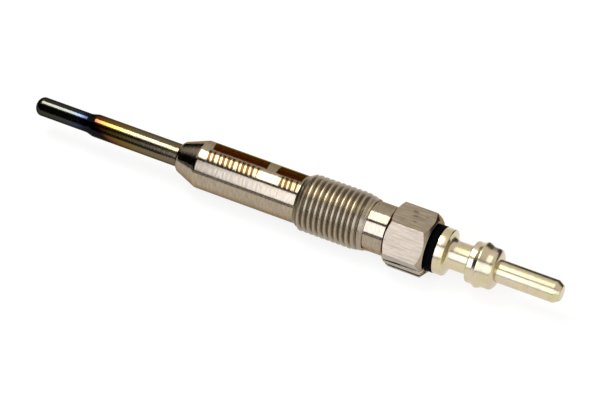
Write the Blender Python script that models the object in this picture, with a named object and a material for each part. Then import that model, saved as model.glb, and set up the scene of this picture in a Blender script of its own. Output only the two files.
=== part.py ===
"""Diesel glow plug with a metal sheath, a fine screw thread, a hexagon and a round push-on terminal.

The plug lies along +X, glow tip towards -X, resting on one flat of its hexagon at z = 0.
The origin is at the middle of its bounding box, on the resting plane.
"""
from math import cos, pi, radians, sin, tan

import bmesh
import bpy
from mathutils import Vector

MM = 0.001

# Clearances between pieces that touch on the real plug
PRESS_GAP = 0.05 * MM
SEAT_GAP = 0.05 * MM
FILL_GAP = 0.04 * MM
WELD_GAP = 0.1 * MM

# Glow tube, a thin sheath swaged down to its tip
TUBE_RADIUS = 2.0 * MM
TUBE_WALL = 0.4 * MM
TUBE_FREE_LENGTH = 27.83 * MM
TUBE_HELD_LENGTH = 16.67 * MM
TIP_RADIUS = 1.67 * MM
TIP_LENGTH = 10.0 * MM
TIP_ROUNDING = 1.3 * MM
SHOULDER_LENGTH = 1.8 * MM

# Shell, one turned piece with its sealing cone, shank, thread, neck and hexagon
NOSE_RADIUS = 2.7 * MM
NOSE_CHAMFER = 0.45 * MM
SEAT_CONE_ANGLE = radians(21.6)
SHANK_RADIUS = 4.22 * MM
SHANK_LENGTH = 18.87 * MM
THREAD_RADIUS = 4.985 * MM
THREAD_PITCH = 1.0 * MM
THREAD_LENGTH = 12.9 * MM
THREAD_FLANK_ANGLE = radians(30.0)
LEAD_CHAMFER_ANGLE = radians(32.0)
RUN_OUT_LENGTH = 2.4 * MM
NECK_RADIUS = 4.32 * MM
NECK_LENGTH = 3.58 * MM
HEX_ACROSS_FLATS = 10.0 * MM
HEX_LENGTH = 7.62 * MM
HEX_FRONT_INSET = 0.6 * MM
HEX_REAR_INSET = 0.23 * MM
HEX_CHAMFER_ANGLE = radians(35.0)
HEX_BLANK_EXTRA = 0.3 * MM
MOUTH_RADIUS = 3.0 * MM

# Connecting pin through the shell, with a stepped front end inside the tube
PIN_RADIUS = 1.3 * MM
PIN_AIR_GAP = 1.3 * MM
PIN_STEP_BEYOND_TUBE = 1.2 * MM
PIN_CHAMFER = 0.2 * MM
SPIGOT_RADIUS = 0.6 * MM
SPIGOT_LENGTH = 1.7 * MM
SPIGOT_STEP = 0.07 * MM

# Wound wires inside the tube
HEATING_WIRE_RADIUS = 0.15 * MM
HEATING_COIL_RADIUS = 0.75 * MM
HEATING_COIL_LENGTH = 9.0 * MM
HEATING_COIL_TURNS = 7
HEATING_LEAD_LENGTH = 0.8 * MM
CONTROL_WIRE_RADIUS = 0.14 * MM
CONTROL_COIL_LENGTH = 14.0 * MM
CONTROL_COIL_TURNS = 9

# Seals and insulation
TUBE_SEAL_LENGTH = 2.0 * MM
O_RING_LENGTH = 1.6 * MM
WASHER_RADIUS = 4.08 * MM
WASHER_THICKNESS = 1.35 * MM
WASHER_CHAMFER = 0.15 * MM
WASHER_SPIGOT_LENGTH = 1.5 * MM

# Terminal, one turned piece pressed on the connecting pin
COLLAR_RADIUS = 4.04 * MM
COLLAR_LENGTH = 1.6 * MM
COLLAR_EDGE = 0.25 * MM
COLLAR_FILLET_LENGTH = 1.18 * MM
TERMINAL_NECK_RADIUS = 2.5 * MM
TERMINAL_NECK_LENGTH = 2.9 * MM
FRONT_RING_RADIUS = 3.62 * MM
FRONT_RING_LENGTH = 1.05 * MM
FRONT_RING_EDGE = 0.22 * MM
CREST_RADIUS = 3.97 * MM
CREST_LENGTH = 0.25 * MM
CREST_RISE_LENGTH = 0.67 * MM
CREST_FALL_LENGTH = 0.95 * MM
REAR_RING_RADIUS = 3.55 * MM
REAR_RING_LENGTH = 1.05 * MM
DOME_LENGTH = 0.93 * MM
PLUG_PIN_RADIUS = 1.98 * MM
PLUG_PIN_LENGTH = 11.25 * MM
PLUG_PIN_CHAMFER = 1.04 * MM
PLUG_PIN_END_RADIUS = 1.32 * MM
TERMINAL_BORE_DEPTH = 10.2 * MM

# How finely the round forms are cut
SHELL_SEGMENTS = 36
TURNED_SEGMENTS = 32
TUBE_SEGMENTS = 28
WIRE_SIDES = 5
O_RING_SIDES = 12
STEPS_PER_TURN = 12
CURVE_STEPS = 5
WELD_DISTANCE = 0.001 * MM

# Radii that follow from the sizes above
TUBE_BORE_RADIUS = TUBE_RADIUS - TUBE_WALL
CONTROL_COIL_RADIUS = SPIGOT_RADIUS + CONTROL_WIRE_RADIUS + FILL_GAP
PIN_FRONT_RADIUS = CONTROL_COIL_RADIUS + CONTROL_WIRE_RADIUS + SPIGOT_STEP
SHELL_BORE_RADIUS = PIN_RADIUS + PIN_AIR_GAP
THREAD_HEIGHT = THREAD_PITCH / (2 * tan(THREAD_FLANK_ANGLE))
THREAD_DEPTH = THREAD_HEIGHT * 17 / 24
THREAD_CREST_WIDTH = THREAD_PITCH / 8
THREAD_ROOT_RADIUS = THREAD_RADIUS - THREAD_DEPTH
HEX_CORNER_RADIUS = HEX_ACROSS_FLATS / 2 / cos(pi / 6)
HEX_FRONT_RADIUS = HEX_ACROSS_FLATS / 2 - HEX_FRONT_INSET
HEX_REAR_RADIUS = HEX_ACROSS_FLATS / 2 - HEX_REAR_INSET
HEX_BLANK_RADIUS = HEX_CORNER_RADIUS + HEX_BLANK_EXTRA
AXIS_HEIGHT = HEX_ACROSS_FLATS / 2

# Lengths that follow from the sizes above
SEAT_CONE_LENGTH = (SHANK_RADIUS - NOSE_RADIUS) / tan(SEAT_CONE_ANGLE)
SHELL_LENGTH = (NOSE_CHAMFER + SEAT_CONE_LENGTH + SHANK_LENGTH + THREAD_LENGTH
                + NECK_LENGTH + HEX_LENGTH)
WASHER_SPACE = WASHER_THICKNESS + 2 * SEAT_GAP
BULGE_LENGTH = (FRONT_RING_LENGTH + CREST_RISE_LENGTH + CREST_LENGTH + CREST_FALL_LENGTH
                + REAR_RING_LENGTH + DOME_LENGTH)
TERMINAL_LENGTH = (COLLAR_LENGTH + COLLAR_FILLET_LENGTH + TERMINAL_NECK_LENGTH
                   + BULGE_LENGTH + PLUG_PIN_LENGTH)
OVERALL_LENGTH = TUBE_FREE_LENGTH + SHELL_LENGTH + WASHER_SPACE + TERMINAL_LENGTH

# Places along the axis, from the glow tip to the terminal's end
TIP_END = -OVERALL_LENGTH / 2
NOSE_FACE = TIP_END + TUBE_FREE_LENGTH
SHANK_START = NOSE_FACE + NOSE_CHAMFER + SEAT_CONE_LENGTH
THREAD_START = SHANK_START + SHANK_LENGTH
THREAD_END = THREAD_START + THREAD_LENGTH
HEX_START = THREAD_END + NECK_LENGTH
HEX_END = HEX_START + HEX_LENGTH
WASHER_START = HEX_END + SEAT_GAP
WASHER_END = WASHER_START + WASHER_THICKNESS
COLLAR_START = WASHER_END + SEAT_GAP
TUBE_END = NOSE_FACE + TUBE_HELD_LENGTH
SEAL_START = TUBE_END - TUBE_SEAL_LENGTH
HEATING_COIL_START = TIP_END + TUBE_WALL + FILL_GAP
HEATING_COIL_END = HEATING_COIL_START + HEATING_COIL_LENGTH
CONTROL_COIL_END = HEATING_COIL_END + CONTROL_COIL_LENGTH
PIN_SHOULDER = CONTROL_COIL_END + CONTROL_WIRE_RADIUS + WELD_GAP
SPIGOT_START = PIN_SHOULDER - SPIGOT_LENGTH
PIN_STEP = TUBE_END + PIN_STEP_BEYOND_TUBE
MOUTH_START = HEX_END - WASHER_SPIGOT_LENGTH - O_RING_LENGTH - 3 * SEAT_GAP
TERMINAL_BORE_END = COLLAR_START + TERMINAL_BORE_DEPTH


def clear_scene():
    """Remove every object that the file holds."""
    for item in list(bpy.data.objects):
        bpy.data.objects.remove(item, do_unlink=True)


def metal_or_plastic(name, colour, roughness, metallic):
    """Make one plain surface."""
    surface = bpy.data.materials.new(name)
    surface.use_nodes = True
    shader = surface.node_tree.nodes["Principled BSDF"]
    shader.inputs["Base Color"].default_value = (*colour, 1.0)
    shader.inputs["Roughness"].default_value = roughness
    shader.inputs["Metallic"].default_value = metallic
    surface.diffuse_color = (*colour, 1.0)
    return surface


def make_object(name, shape, surface):
    """Close a shape's seams, turn its faces outwards and set it on the plug's axis."""
    bmesh.ops.remove_doubles(shape, verts=shape.verts, dist=WELD_DISTANCE)
    bmesh.ops.dissolve_degenerate(shape, edges=shape.edges, dist=WELD_DISTANCE)
    bmesh.ops.recalc_face_normals(shape, faces=shape.faces)
    mesh = bpy.data.meshes.new(name)
    shape.to_mesh(mesh)
    shape.free()
    mesh.shade_smooth()
    mesh.set_sharp_from_angle(angle=radians(28.0))
    mesh.materials.append(surface)
    item = bpy.data.objects.new(name, mesh)
    item.location = (0.0, 0.0, AXIS_HEIGHT)
    bpy.context.scene.collection.objects.link(item)
    return item


def spin_outline(shape, outline, segments, ring=False):
    """Turn (place along the axis, radius) points round the axis; a ring's outline closes on itself."""
    points = [shape.verts.new((along, 0.0, radius)) for along, radius in outline]
    ends = points[1:] + points[:1] if ring else points[1:]
    edges = [shape.edges.new(pair) for pair in zip(points, ends)]
    bmesh.ops.spin(shape, geom=points + edges, cent=(0.0, 0.0, 0.0), axis=(1.0, 0.0, 0.0),
                   angle=2 * pi, steps=segments)


def turned(name, outline, surface, segments=TURNED_SEGMENTS, ring=False):
    """Make one turned piece."""
    shape = bmesh.new()
    spin_outline(shape, outline, segments, ring)
    return make_object(name, shape, surface)


def quarter(start, end, hollow=False, steps=CURVE_STEPS):
    """Quarter of an ellipse between two points: full at its start, or hollow like a fillet."""
    points = []
    for step in range(steps + 1):
        angle = pi / 2 * step / steps
        across, along = (1 - cos(angle), sin(angle)) if not hollow else (sin(angle), 1 - cos(angle))
        points.append((start[0] + (end[0] - start[0]) * along,
                       start[1] + (end[1] - start[1]) * across))
    return points


def eased(start, end, steps=CURVE_STEPS):
    """Smooth step between two points that leaves and meets a cylinder at each end."""
    points = []
    for step in range(steps + 1):
        share = step / steps
        rise = (1 - cos(pi * share)) / 2
        points.append((start[0] + (end[0] - start[0]) * share, start[1] + (end[1] - start[1]) * rise))
    return points


def tube_line(inset, end):
    """Outline of the glow tube from the tip's centre to one end, moved inwards by a wall."""
    tip = TIP_RADIUS - inset
    body = TUBE_RADIUS - inset
    dome_end = TIP_END + TIP_ROUNDING
    dome = quarter((dome_end, tip), (TIP_END + inset, 0.0), steps=CURVE_STEPS + 1)
    shoulder = eased((TIP_END + TIP_LENGTH, tip), (TIP_END + TIP_LENGTH + SHOULDER_LENGTH, body))
    return dome[::-1] + shoulder + [(end, body)]


def make_glow_tube(surface):
    """Closed sheath with an even wall, open at the end that the shell holds."""
    outside = tube_line(0.0, TUBE_END)
    inside = tube_line(TUBE_WALL, TUBE_END)
    return turned("glow_tube", outside + inside[::-1], surface, TUBE_SEGMENTS)


def thread_height_at(along, start):
    """Share of the full thread depth that the lead chamfer and the run-out leave."""
    lead = (along - start) * tan(LEAD_CHAMFER_ANGLE) / THREAD_DEPTH
    run_out = ((THREAD_END - along) / RUN_OUT_LENGTH) ** 0.75
    return min(1.0, lead, run_out)


def add_thread(shape, start):
    """Right-hand helical sheet of roots, flanks and crests, cut square at both ends."""
    flank = THREAD_DEPTH * tan(THREAD_FLANK_ANGLE)
    root = THREAD_PITCH - THREAD_CREST_WIDTH - 2 * flank
    section = [(0.0, 0.0), (root, 0.0), (root + flank, 1.0), (root + flank + THREAD_CREST_WIDTH, 1.0)]
    turns = int((THREAD_END - start) / THREAD_PITCH) + 2
    snap = THREAD_PITCH / SHELL_SEGMENTS / 4
    rows = []
    for turn in range(-1, turns):
        for offset, height in section:
            row = []
            for step in range(SHELL_SEGMENTS + 1):
                share = step / SHELL_SEGMENTS
                along = start + THREAD_PITCH * (turn + share) + offset
                if along < start + snap:
                    along, lift = start, 0.0
                elif along > THREAD_END - snap:
                    along, lift = THREAD_END, 0.0
                else:
                    lift = min(height, thread_height_at(along, start))
                radius = THREAD_ROOT_RADIUS + THREAD_DEPTH * lift
                angle = 2 * pi * share
                row.append(shape.verts.new((along, -radius * sin(angle), radius * cos(angle))))
            rows.append(row)
    for lower, upper in zip(rows, rows[1:]):
        for step in range(SHELL_SEGMENTS):
            corners = (lower[step], upper[step], upper[step + 1], lower[step + 1])
            if any(corner.co.x != corners[0].co.x for corner in corners):
                shape.faces.new(corners)


def make_hex_cutter():
    """Ring with a six-sided hole that leaves the flats of the hexagon."""
    shape = bmesh.new()
    loops = []
    for radius, along in ((HEX_CORNER_RADIUS, HEX_START - NECK_LENGTH / 4),
                          (HEX_CORNER_RADIUS, HEX_END + WASHER_SPACE),
                          (2 * HEX_BLANK_RADIUS, HEX_END + WASHER_SPACE),
                          (2 * HEX_BLANK_RADIUS, HEX_START - NECK_LENGTH / 4)):
        angles = [pi / 3 * corner for corner in range(6)]
        loops.append([shape.verts.new((along, radius * cos(a), radius * sin(a))) for a in angles])
    for loop, following in zip(loops, loops[1:] + loops[:1]):
        for corner in range(6):
            after = (corner + 1) % 6
            shape.faces.new((loop[corner], loop[after], following[after], following[corner]))
    cutter = make_object("hex_cutter", shape, bpy.data.materials.new("hex_cutter"))
    cutter.data.shade_flat()
    return hide_cutter(cutter)


def hide_cutter(cutter):
    """Mark an object as a tool that only shapes another one."""
    cutter.hide_render = True
    cutter.display_type = "WIRE"
    return cutter


def cut_away(item, cutter):
    """Take a cutter's volume out of a piece."""
    cut = item.modifiers.new("cut", "BOOLEAN")
    cut.operation = "DIFFERENCE"
    cut.solver = "EXACT"
    cut.object = cutter


def make_shell(surface):
    """Turned body: bores, nose, sealing cone and shank, then the thread, neck and hexagon."""
    lead_rise = (THREAD_ROOT_RADIUS - SHANK_RADIUS) / tan(LEAD_CHAMFER_ANGLE)
    front_chamfer = (HEX_BLANK_RADIUS - HEX_FRONT_RADIUS) * tan(HEX_CHAMFER_ANGLE)
    rear_chamfer = (HEX_BLANK_RADIUS - HEX_REAR_RADIUS) * tan(HEX_CHAMFER_ANGLE)
    front_bore = TUBE_RADIUS + PRESS_GAP
    bore_step = TUBE_END + PIN_STEP_BEYOND_TUBE / 2
    outline = [
        (THREAD_END, THREAD_ROOT_RADIUS),
        (THREAD_END, NECK_RADIUS),
        (HEX_START, NECK_RADIUS),
        (HEX_START, HEX_FRONT_RADIUS),
        (HEX_START + front_chamfer, HEX_BLANK_RADIUS),
        (HEX_END - rear_chamfer, HEX_BLANK_RADIUS),
        (HEX_END, HEX_REAR_RADIUS),
        (HEX_END, MOUTH_RADIUS),
        (MOUTH_START, MOUTH_RADIUS),
        (MOUTH_START, SHELL_BORE_RADIUS),
        (bore_step, SHELL_BORE_RADIUS),
        (bore_step, front_bore),
        (NOSE_FACE, front_bore),
        (NOSE_FACE, NOSE_RADIUS - NOSE_CHAMFER),
        (NOSE_FACE + NOSE_CHAMFER, NOSE_RADIUS),
        (SHANK_START, SHANK_RADIUS),
        (THREAD_START, SHANK_RADIUS),
        (THREAD_START + lead_rise, THREAD_ROOT_RADIUS),
    ]
    shape = bmesh.new()
    spin_outline(shape, outline, SHELL_SEGMENTS)
    add_thread(shape, THREAD_START + lead_rise)
    shell = make_object("plug_shell", shape, surface)
    cut_away(shell, make_hex_cutter())
    return shell


def heating_path():
    """Wire from the weld in the tip, out from the axis and round its turns."""
    steps = HEATING_COIL_TURNS * STEPS_PER_TURN
    wound = HEATING_COIL_LENGTH - HEATING_LEAD_LENGTH
    points = [(HEATING_COIL_START, 0.0, 0.0)]
    for step in range(steps + 1):
        turn = step / STEPS_PER_TURN
        spread = (1 - cos(pi * min(1.0, turn))) / 2
        along = HEATING_COIL_START + HEATING_LEAD_LENGTH + wound * step / steps
        points.append((along, HEATING_COIL_RADIUS * spread, 2 * pi * turn))
    return points


def control_path():
    """Wire from its weld on the heating coil to its last turns round the pin's spigot."""
    steps = CONTROL_COIL_TURNS * STEPS_PER_TURN
    weld = WELD_GAP / CONTROL_COIL_RADIUS
    points = []
    for step in range(steps + 1):
        share = step / steps
        turn = CONTROL_COIL_TURNS * share
        points.append((HEATING_COIL_END + CONTROL_COIL_LENGTH * share, CONTROL_COIL_RADIUS,
                       weld + 2 * pi * turn))
    return points


def sweep(shape, path, wire_radius):
    """Closed round wire along (place, radius, angle) points about the plug's axis."""
    centres = [Vector((along, -radius * sin(angle), radius * cos(angle))) for along, radius, angle in path]
    rings = []
    for index, (centre, stop) in enumerate(zip(centres, path)):
        ahead = centres[min(index + 1, len(centres) - 1)]
        behind = centres[max(index - 1, 0)]
        tangent = (ahead - behind).normalized()
        outward = Vector((0.0, -sin(stop[2]), cos(stop[2])))
        outward = (outward - tangent * outward.dot(tangent)).normalized()
        sideways = tangent.cross(outward)
        ring = []
        for side in range(WIRE_SIDES):
            angle = 2 * pi * side / WIRE_SIDES
            ring.append(shape.verts.new(centre + (outward * cos(angle) + sideways * sin(angle)) * wire_radius))
        rings.append(ring)
    for ring, following in zip(rings, rings[1:]):
        for side in range(WIRE_SIDES):
            after = (side + 1) % WIRE_SIDES
            shape.faces.new((ring[side], ring[after], following[after], following[side]))
    shape.faces.new(rings[0][::-1])
    shape.faces.new(rings[-1])


def make_coil(name, path, wire_radius, surface):
    """Make one wound wire."""
    shape = bmesh.new()
    sweep(shape, path, wire_radius)
    return make_object(name, shape, surface)


def make_insulating_powder(surface):
    """Packed filling of the tube, with a channel for both coils and a bore for the pin."""
    outside = tube_line(TUBE_WALL + FILL_GAP, SEAL_START - FILL_GAP)
    pocket = PIN_FRONT_RADIUS + FILL_GAP
    pocket_end = SPIGOT_START - FILL_GAP
    outline = outside + [(SEAL_START - FILL_GAP, pocket), (pocket_end, pocket), (pocket_end, 0.0)]
    powder = turned("insulating_powder", outline, surface, TUBE_SEGMENTS)
    mouth = (TIP_END, 0.0, 0.0)
    shape = bmesh.new()
    sweep(shape, [mouth] + heating_path() + control_path(), HEATING_WIRE_RADIUS + FILL_GAP)
    channel = make_object("coil_channel", shape, bpy.data.materials.new("coil_channel"))
    cut_away(powder, hide_cutter(channel))
    return powder


def make_connecting_pin(surface):
    """Rod from the control coil to the terminal, stepped down where it enters the tube."""
    end = TERMINAL_BORE_END - SEAT_GAP
    outline = [
        (SPIGOT_START, 0.0),
        (SPIGOT_START, SPIGOT_RADIUS),
        (PIN_SHOULDER, SPIGOT_RADIUS),
        (PIN_SHOULDER, PIN_FRONT_RADIUS),
        (PIN_STEP, PIN_FRONT_RADIUS),
        (PIN_STEP + PIN_RADIUS - PIN_FRONT_RADIUS, PIN_RADIUS),
        (end - PIN_CHAMFER, PIN_RADIUS),
        (end, PIN_RADIUS - PIN_CHAMFER),
        (end, 0.0),
    ]
    return turned("connecting_pin", outline, surface, TUBE_SEGMENTS)


def make_tube_seal(surface):
    """Soft sleeve that closes the tube's end round the pin."""
    inside = PIN_FRONT_RADIUS + SEAT_GAP
    outside = TUBE_BORE_RADIUS - SEAT_GAP
    outline = [(SEAL_START, inside), (SEAL_START, outside), (TUBE_END, outside), (TUBE_END, inside)]
    return turned("tube_seal", outline, surface, TUBE_SEGMENTS, ring=True)


def make_o_ring(surface):
    """Rubber ring in the shell's mouth, with a rounded section."""
    inside = PIN_RADIUS + SEAT_GAP
    outside = MOUTH_RADIUS - SEAT_GAP
    start = MOUTH_START + SEAT_GAP
    middle_along = start + O_RING_LENGTH / 2
    middle_radius = (inside + outside) / 2
    outline = []
    for side in range(O_RING_SIDES):
        angle = 2 * pi * side / O_RING_SIDES
        outline.append((middle_along + O_RING_LENGTH / 2 * cos(angle),
                        middle_radius + (outside - inside) / 2 * sin(angle)))
    return turned("o_ring", outline, surface, TUBE_SEGMENTS, ring=True)


def make_insulating_washer(surface):
    """Moulded disc between hexagon and terminal, with a spigot that centres the pin in the mouth."""
    inside = PIN_RADIUS + SEAT_GAP
    spigot = MOUTH_RADIUS - SEAT_GAP
    spigot_start = HEX_END - WASHER_SPIGOT_LENGTH
    outline = [
        (spigot_start, inside),
        (spigot_start, spigot),
        (WASHER_START, spigot),
        (WASHER_START, WASHER_RADIUS - WASHER_CHAMFER),
        (WASHER_START + WASHER_CHAMFER, WASHER_RADIUS),
        (WASHER_END, WASHER_RADIUS),
        (WASHER_END, inside),
    ]
    return turned("insulating_washer", outline, surface, ring=True)


def make_terminal(surface):
    """Push-on terminal: collar, fillet, neck, ringed bulge and round pin, bored for the connecting pin."""
    bore = PIN_RADIUS + PRESS_GAP
    collar_end = COLLAR_START + COLLAR_LENGTH
    neck_start = collar_end + COLLAR_FILLET_LENGTH
    ring_start = neck_start + TERMINAL_NECK_LENGTH
    rise_start = ring_start + FRONT_RING_LENGTH
    crest_start = rise_start + CREST_RISE_LENGTH
    crest_end = crest_start + CREST_LENGTH
    rear_start = crest_end + CREST_FALL_LENGTH
    dome_start = rear_start + REAR_RING_LENGTH
    pin_start = dome_start + DOME_LENGTH
    pin_end = pin_start + PLUG_PIN_LENGTH
    rim = (collar_end, COLLAR_RADIUS - COLLAR_EDGE)
    ring_edge = FRONT_RING_RADIUS - FRONT_RING_EDGE
    outline = [(TERMINAL_BORE_END, 0.0), (TERMINAL_BORE_END, bore), (COLLAR_START, bore),
               (COLLAR_START, COLLAR_RADIUS)]
    outline += quarter((collar_end - COLLAR_EDGE, COLLAR_RADIUS), rim, steps=3)
    outline += quarter(rim, (neck_start, TERMINAL_NECK_RADIUS), hollow=True)[1:]
    outline += [(ring_start, TERMINAL_NECK_RADIUS)]
    outline += quarter((ring_start, ring_edge), (ring_start + FRONT_RING_EDGE, FRONT_RING_RADIUS),
                       hollow=True, steps=3)
    outline += [(rise_start, FRONT_RING_RADIUS), (crest_start, CREST_RADIUS), (crest_end, CREST_RADIUS),
                (rear_start, REAR_RING_RADIUS)]
    outline += quarter((dome_start, REAR_RING_RADIUS), (pin_start, PLUG_PIN_RADIUS))
    outline += [(pin_end - PLUG_PIN_CHAMFER, PLUG_PIN_RADIUS), (pin_end, PLUG_PIN_END_RADIUS),
                (pin_end, 0.0)]
    return turned("terminal", outline, surface)


def main():
    clear_scene()
    make_glow_tube(metal_or_plastic("sheath_alloy", (0.42, 0.36, 0.27), 0.3, 1.0))
    make_shell(metal_or_plastic("plated_steel", (0.66, 0.62, 0.54), 0.32, 1.0))
    make_coil("heating_coil", heating_path(), HEATING_WIRE_RADIUS,
              metal_or_plastic("heating_wire", (0.45, 0.43, 0.4), 0.4, 1.0))
    make_coil("control_coil", control_path(), CONTROL_WIRE_RADIUS,
              metal_or_plastic("control_wire", (0.55, 0.52, 0.47), 0.4, 1.0))
    make_insulating_powder(metal_or_plastic("magnesia", (0.85, 0.84, 0.8), 0.9, 0.0))
    make_tube_seal(metal_or_plastic("seal_rubber", (0.12, 0.1, 0.09), 0.7, 0.0))
    make_connecting_pin(metal_or_plastic("pin_steel", (0.6, 0.58, 0.55), 0.35, 1.0))
    make_o_ring(metal_or_plastic("ring_rubber", (0.03, 0.03, 0.03), 0.7, 0.0))
    make_insulating_washer(metal_or_plastic("black_plastic", (0.012, 0.012, 0.013), 0.6, 0.0))
    make_terminal(metal_or_plastic("tinned_steel", (0.8, 0.74, 0.62), 0.25, 1.0))


main()
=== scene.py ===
"""Dresses a diesel glow plug: heat-tinted tube, threaded steel shell, black washer and tinned terminal.

Lengths are metres in the model's own frame: +X runs along the plug's axis from the glow tip to the
terminal, and the plug rests on the floor at z = 0. The patterns of the materials are in millimetres.
"""
from math import asin, cos, hypot, pi, radians, sin, tan

import bpy
from bpy.props import FloatProperty, FloatVectorProperty, IntProperty, PointerProperty
from mathutils import Matrix, Vector


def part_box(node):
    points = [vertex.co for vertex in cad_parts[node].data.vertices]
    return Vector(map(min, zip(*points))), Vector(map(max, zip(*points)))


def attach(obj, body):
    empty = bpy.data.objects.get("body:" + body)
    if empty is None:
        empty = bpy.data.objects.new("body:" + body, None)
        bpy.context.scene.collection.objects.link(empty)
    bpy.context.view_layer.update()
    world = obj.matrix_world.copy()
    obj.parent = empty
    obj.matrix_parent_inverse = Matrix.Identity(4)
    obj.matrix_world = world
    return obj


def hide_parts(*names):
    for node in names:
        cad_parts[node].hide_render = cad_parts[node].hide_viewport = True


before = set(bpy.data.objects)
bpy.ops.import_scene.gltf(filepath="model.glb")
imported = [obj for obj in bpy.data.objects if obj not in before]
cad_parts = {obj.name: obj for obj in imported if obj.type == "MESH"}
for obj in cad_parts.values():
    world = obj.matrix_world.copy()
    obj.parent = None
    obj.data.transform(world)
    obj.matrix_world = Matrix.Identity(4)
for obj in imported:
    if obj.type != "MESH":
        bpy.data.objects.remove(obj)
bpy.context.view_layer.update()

bl_info = {
    "name": "Diesel Glow Plug",
    "version": (1, 0, 0),
    "blender": (4, 5, 0),
    "location": "3D View > Sidebar > Glow Plug",
    "description": "Models a diesel glow plug around its solids and sets it on a pale studio floor",
    "category": "Object",
}

MM = 0.001
PER_METRE = 1000.0

# Places and radii that come with the solids
TUBE_LOW, TUBE_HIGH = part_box("glow_tube")
SHELL_LOW, SHELL_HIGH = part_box("plug_shell")
WASHER_LOW, WASHER_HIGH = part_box("insulating_washer")
TERMINAL_LOW, TERMINAL_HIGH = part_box("terminal")
O_RING_LOW, O_RING_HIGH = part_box("o_ring")
PIN_LOW, PIN_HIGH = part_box("connecting_pin")
AXIS_HEIGHT = (SHELL_LOW.z + SHELL_HIGH.z) / 2
TUBE_RADIUS = TUBE_HIGH.z - AXIS_HEIGHT
PIN_RADIUS = PIN_HIGH.z - AXIS_HEIGHT
WASHER_RADIUS = WASHER_HIGH.z - AXIS_HEIGHT
COLLAR_RADIUS = TERMINAL_HIGH.z - AXIS_HEIGHT
ACROSS_FLATS = SHELL_HIGH.z - SHELL_LOW.z
CORNER_RADIUS = ACROSS_FLATS / 2 / cos(pi / 6)

# How the pieces fit together
SEAT_GAP = 0.05 * MM
PRESS_GAP = 0.05 * MM
PIN_AIR_GAP = 1.3 * MM
BORE_STEP_BEYOND_TUBE = 0.6 * MM
MOUTH_RADIUS = O_RING_HIGH.z - AXIS_HEIGHT + SEAT_GAP
MOUTH_START = O_RING_LOW.x - SEAT_GAP
WASHER_SEAT = SHELL_HIGH.x + SEAT_GAP
TERMINAL_BORE_END = PIN_HIGH.x + SEAT_GAP

# How finely the round forms are cut
WELD = 0.001 * MM
CURVE_STEPS = 10
RING_STEPS = 5
RIM_STEPS = 4
EDGE_STEPS = 3

# What is shaded smooth: edges up to an angle, and no face as large as the hexagon's flats
SMOOTH_ANGLE = radians(30.0)
LARGEST_SMOOTH_FACE = 10 * MM * MM

# Slopes of the turned forms
SEAT_CONE_ANGLE = radians(21.6)
LEAD_CHAMFER_ANGLE = radians(32.0)
FLANK_ANGLE = radians(30.0)
HEX_FRONT_CHAMFER_ANGLE = radians(35.0)
HEX_REAR_CHAMFER_ANGLE = radians(40.0)

# The thread's depth and root as shares of its pitch, their rounding, and how it fades towards the neck
THREAD_DEPTH_SHARE = 0.48
THREAD_ROOT_SHARE = 0.11
ROOT_EDGE_SHARE = 0.45
FADE_POWER = 0.75

# Smaller forms of the shell, and how far its turned edges are rounded
HEX_BLANK_SHARE = 1.05
FLAT_LEAN = 0.001
NECK_STEP = 0.05 * MM
MOUTH_RIM = 0.3 * MM
SHELL_EDGES = {
    "thread": 0.05 * MM, "shank": 0.25 * MM, "cone": 0.12 * MM, "nose": 0.06 * MM,
    "hexagon": 0.03 * MM, "rear": 0.04 * MM,
}

# Lengths along the terminal's bulge and pin, and how far its turned edges are rounded
RING_LENGTH = 1.05 * MM
RING_EDGE = 0.22 * MM
CREST_RISE_LENGTH = 0.67 * MM
CREST_LENGTH = 0.25 * MM
CREST_FALL_LENGTH = 0.95 * MM
DOME_LENGTH = 0.93 * MM
PLUG_PIN_CHAMFER = 1.04 * MM
PLUG_PIN_END_RADIUS = 1.32 * MM
TERMINAL_EDGES = {
    "front": 0.08 * MM, "ring": 0.08 * MM, "crest": 0.1 * MM, "rear_ring": 0.12 * MM,
    "pin": 0.12 * MM, "pin_end": 0.15 * MM,
}

# How the plug lies before the camera, in a picture of 600 by 400 points
PICTURE_WIDTH = 600
SENSOR_WIDTH = 36.0
AXIS_TILT = radians(19.85)
END_TOWARDS_CAMERA = asin(0.30)
CAMERA_HEIGHT_ANGLE = radians(43.7)
CAMERA_DISTANCE = 0.587
FOCAL_POINTS = 3492.0
AIM_ALONG = 1.26 * MM
POINTS_BELOW_AIM = 0.98

# The studio: a pale floor and room, with soft lamps and dark cloths that run along the plug. Each has its
# angle over the camera-side horizontal and half the angle that it fills in degrees, its distance from
# the axis and its two ends along it; a lamp also has its radiance.
FLOOR_SIZE = 6.0
FLOOR_GLOW = 0.8
WORLD_STRENGTH = 0.8
LAMP_LIGHT = (1.0, 1.0, 1.0)
PANEL_LIGHT = (0.91, 0.98, 1.17)
WATTS_PER_RADIANCE = 4.0
LAMPS = {
    "shell_lamp": {"angle": 86.5, "distance": 0.70, "spread": 20.0, "ends": (-0.262, -0.175), "level": 3.8},
    "tube_lamp": {"angle": 88.5, "distance": 0.70, "spread": 15.5, "ends": (-0.306, -0.262), "level": 8.0},
    "tip_lamp": {"angle": 93.5, "distance": 0.70, "spread": 14.5, "ends": (-0.37, -0.306), "level": 22.0},
    "front_panel": {"angle": 30.0, "distance": 0.15, "spread": 24.2, "ends": (-0.072, -0.047), "level": 1.9},
    "middle_panel": {"angle": 30.0, "distance": 0.15, "spread": 24.2, "ends": (-0.047, -0.014), "level": 2.7},
    "side_panel": {"angle": 30.0, "distance": 0.15, "spread": 24.2, "ends": (-0.014, 0.30), "level": 1.5},
    "edge_panel": {"angle": 26.0, "distance": 0.15, "spread": 13.0, "ends": (-0.090, -0.074), "level": 0.5},
}
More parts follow.
